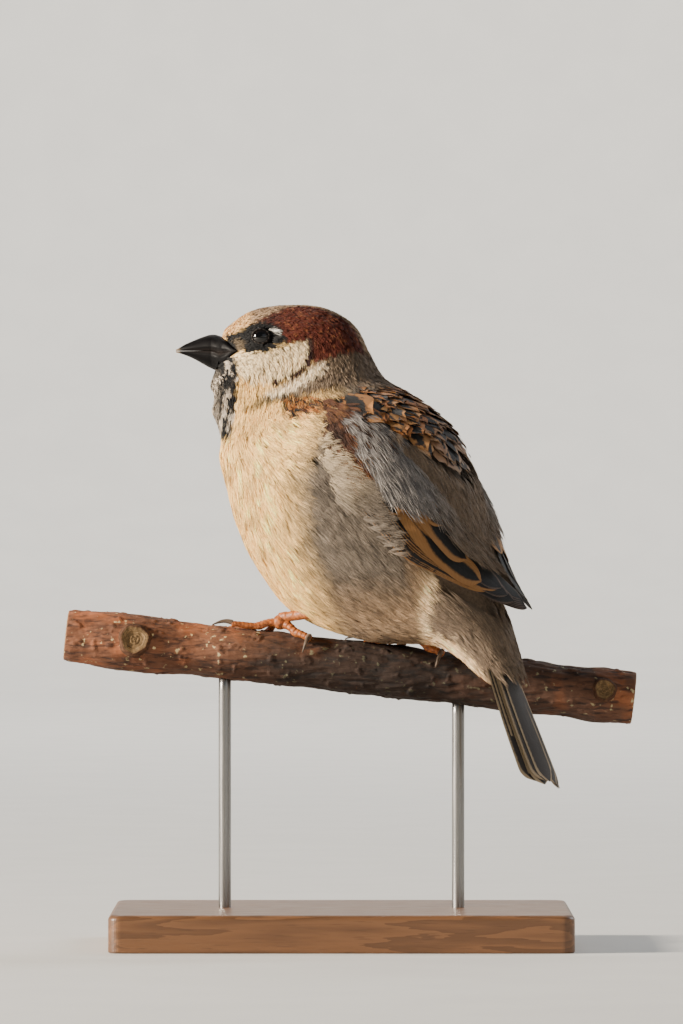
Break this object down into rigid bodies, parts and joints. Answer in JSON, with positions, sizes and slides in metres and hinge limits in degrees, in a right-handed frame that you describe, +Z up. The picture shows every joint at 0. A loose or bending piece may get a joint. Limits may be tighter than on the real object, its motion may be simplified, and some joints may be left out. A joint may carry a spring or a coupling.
{
  "type": "house sparrow on a perch",
  "caption": "Life-size still model of a cock house sparrow in winter plumage, gripping a cut length of branch that a plain wooden display stand holds.",
  "frame": {"origin": "middle of the underside of the stand's base", "axes": "+Z up; X along the branch, with the bill towards -X; the bird's left side faces -Y"},
  "size_m": [0.1374, 0.08, 0.1537],
  "materials": {
    "plumage": "soft body feathers, buff below, chestnut and grey on the head",
    "wing_feathers": "small wing feathers and tertials, brown with buff edges",
    "flight_feathers": "stiff flight and tail feathers, dark brown with thin pale edges",
    "bill_horn": "satin slate-black horn",
    "eye": "wet, nearly black",
    "leg_skin": "pinkish brown scaled skin",
    "claw_horn": "brown horn",
    "bark": "dull brown bark with pale flecks",
    "base_wood": "satin oiled wood",
    "rod_steel": "drawn steel rod"
  },
  "bodies": {
    "root": {"trunk": "plumage", "neck": "plumage", "head": "plumage", "wing_left": "wing_feathers", "wing_right": "wing_feathers", "primaries_left": "flight_feathers", "primaries_right": "flight_feathers", "tail": "flight_feathers", "bill_upper": "bill_horn", "bill_lower": "bill_horn", "eye_left": "eye", "eye_right": "eye", "leg_left": "leg_skin", "toe_left_hallux": "leg_skin", "claw_left_hallux": "claw_horn", "toe_left_inner": "leg_skin", "claw_left_inner": "claw_horn", "toe_left_middle": "leg_skin", "claw_left_middle": "claw_horn", "toe_left_outer": "leg_skin", "claw_left_outer": "claw_horn", "leg_right": "leg_skin", "toe_right_hallux": "leg_skin", "claw_right_hallux": "claw_horn", "toe_right_inner": "leg_skin", "claw_right_inner": "claw_horn", "toe_right_middle": "leg_skin", "claw_right_middle": "claw_horn", "toe_right_outer": "leg_skin", "claw_right_outer": "claw_horn", "perch": "bark", "stand_base": "base_wood", "stand_rod_left": "rod_steel", "stand_rod_right": "rod_steel"}
  },
  "joints": []
}
